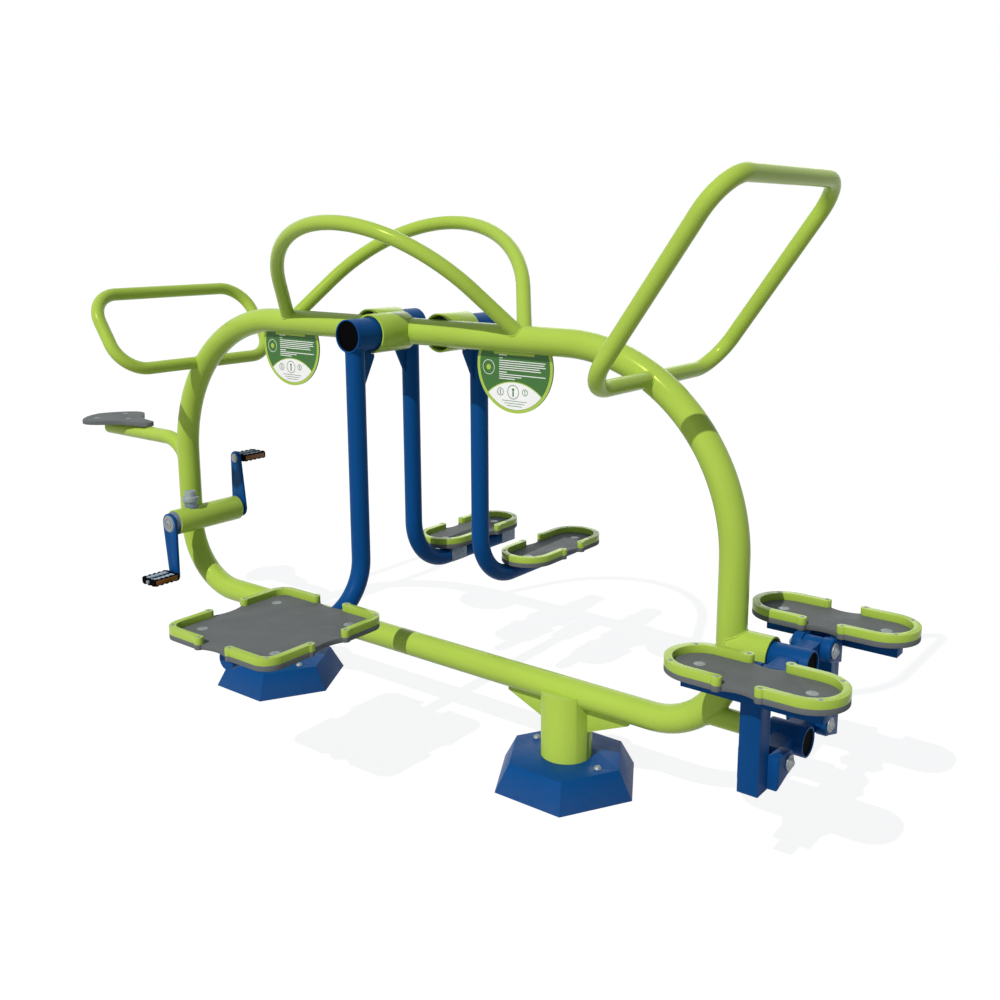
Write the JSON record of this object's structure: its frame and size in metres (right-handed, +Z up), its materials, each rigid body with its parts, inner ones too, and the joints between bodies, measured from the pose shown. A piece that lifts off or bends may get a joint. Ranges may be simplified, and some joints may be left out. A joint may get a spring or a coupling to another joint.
{
  "type": "outdoor fitness station",
  "caption": "Outdoor fitness station on a tubular frame: side-swinging balance board, swinging foot plates, a seat with a hand crank or pedals, and a stepper with hand loops.",
  "frame": {"origin": "on the ground, under the middle of the part's box", "axes": "+X along the frame toward the stepper, +Y toward the side of the two swinging foot plates, +Z up"},
  "size_m": [3.591, 1.7136, 1.94],
  "materials": {
    "lime_paint": "gloss powder coat",
    "blue_paint": "gloss powder coat",
    "bolt_steel": "satin stainless",
    "zinc_steel": "dull zinc",
    "grey_board": "fine grained",
    "black_plastic": "satin",
    "sign_face": "satin"
  },
  "bodies": {
    "frame": {"bottom_tube": "lime_paint", "top_beam": "lime_paint", "side_left": "lime_paint", "side_right": "lime_paint", "post_left": "lime_paint", "post_right": "lime_paint", "cover_left": "blue_paint", "cover_right": "blue_paint", "frame_bolts": "bolt_steel", "handle_left": "lime_paint", "handle_right": "lime_paint", "arch_front": "lime_paint", "arch_back": "lime_paint", "sign_left": "sign_face", "sign_right": "sign_face", "surf_housing": "lime_paint", "walk_housings": "lime_paint", "bearings": "zinc_steel", "crank_housing": "lime_paint", "seat_arm": "lime_paint", "seat_plate": "grey_board", "stepper_stubs": "lime_paint"},
    "knob": {"resistance_knob": "zinc_steel"},
    "surf": {"surf_pendulum": "blue_paint", "surf_cap": "black_plastic", "surf_board": "grey_board", "surf_rims": "lime_paint", "surf_bolts": "bolt_steel"},
    "walk_left": {"walk_left_pendulum": "blue_paint", "walk_left_cap": "black_plastic", "walk_left_clamps": "zinc_steel", "walk_left_board": "grey_board", "walk_left_rims": "lime_paint", "walk_left_bolts": "bolt_steel"},
    "walk_right": {"walk_right_pendulum": "blue_paint", "walk_right_cap": "black_plastic", "walk_right_clamps": "zinc_steel", "walk_right_board": "grey_board", "walk_right_rims": "lime_paint", "walk_right_bolts": "bolt_steel"},
    "crank": {"crank_axle": "bolt_steel", "crank_arms": "blue_paint"},
    "pedal_low": {"pedal_front": "black_plastic"},
    "pedal_high": {"pedal_rear": "black_plastic"},
    "upper_rock": {"upper_rocker": "blue_paint", "upper_cap": "black_plastic", "upper_pins": "bolt_steel"},
    "lower_rock": {"lower_rocker": "blue_paint", "lower_cap": "black_plastic", "lower_pins": "bolt_steel"},
    "step_front": {"front_carrier": "blue_paint", "front_board": "grey_board", "front_rims": "lime_paint", "front_bolts": "bolt_steel"},
    "step_rear": {"rear_carrier": "blue_paint", "rear_board": "grey_board", "rear_rims": "lime_paint", "rear_bolts": "bolt_steel"}
  },
  "joints": [
    {"name": "surf_swing", "type": "hinge", "parent": "frame", "child": "surf", "pos_m": [0.0805, -0.2205, 1.437], "axis": [0, 1, 0], "range_deg": [-22, 22]},
    {"name": "walk_left_swing", "type": "hinge", "parent": "frame", "child": "walk_left", "pos_m": [-0.0815, 0.22, 1.437], "axis": [0, 1, 0], "range_deg": [-6, 25]},
    {"name": "walk_right_swing", "type": "hinge", "parent": "frame", "child": "walk_right", "pos_m": [0.2425, 0.22, 1.437], "axis": [0, 1, 0], "range_deg": [-25, 6]},
    {"name": "crank_spin", "type": "hinge", "parent": "frame", "child": "crank", "pos_m": [-1.06075, 0.00975, 0.603], "axis": [0, 1, 0], "continuous": true},
    {"name": "pedal_front_spin", "type": "hinge", "parent": "crank", "child": "pedal_low", "pos_m": [-1.0515, -0.24025, 0.3912], "axis": [0, 1, 0], "continuous": true},
    {"name": "pedal_rear_spin", "type": "hinge", "parent": "crank", "child": "pedal_high", "pos_m": [-1.07, 0.25975, 0.8148], "axis": [0, 1, 0], "continuous": true},
    {"name": "resistance_turn", "type": "hinge", "parent": "frame", "child": "knob", "pos_m": [-1.06075, -0.06225, 0.7], "axis": [0, 0, 1], "range_deg": [0, 270]},
    {"name": "stepper_rock", "type": "hinge", "parent": "frame", "child": "upper_rock", "pos_m": [1.5375, 0.00975, 0.597], "axis": [1, 0, 0], "range_deg": [-25, 25]},
    {"name": "lower_rock", "type": "hinge", "parent": "frame", "child": "lower_rock", "pos_m": [1.5375, 0.00975, 0.371], "axis": [1, 0, 0], "range_deg": [-25, 25]},
    {"name": "front_pedal", "type": "hinge", "parent": "upper_rock", "child": "step_front", "pos_m": [1.5375, -0.13325, 0.597], "axis": [1, 0, 0], "range_deg": [-25, 25]},
    {"name": "rear_pedal", "type": "hinge", "parent": "upper_rock", "child": "step_rear", "pos_m": [1.5375, 0.15275, 0.597], "axis": [1, 0, 0], "range_deg": [-25, 25]}
  ],
  "couplings": [
    {"joint": "lower_rock", "follows": "stepper_rock", "ratio": 1},
    {"joint": "front_pedal", "follows": "stepper_rock", "ratio": -1},
    {"joint": "rear_pedal", "follows": "stepper_rock", "ratio": -1}
  ]
}
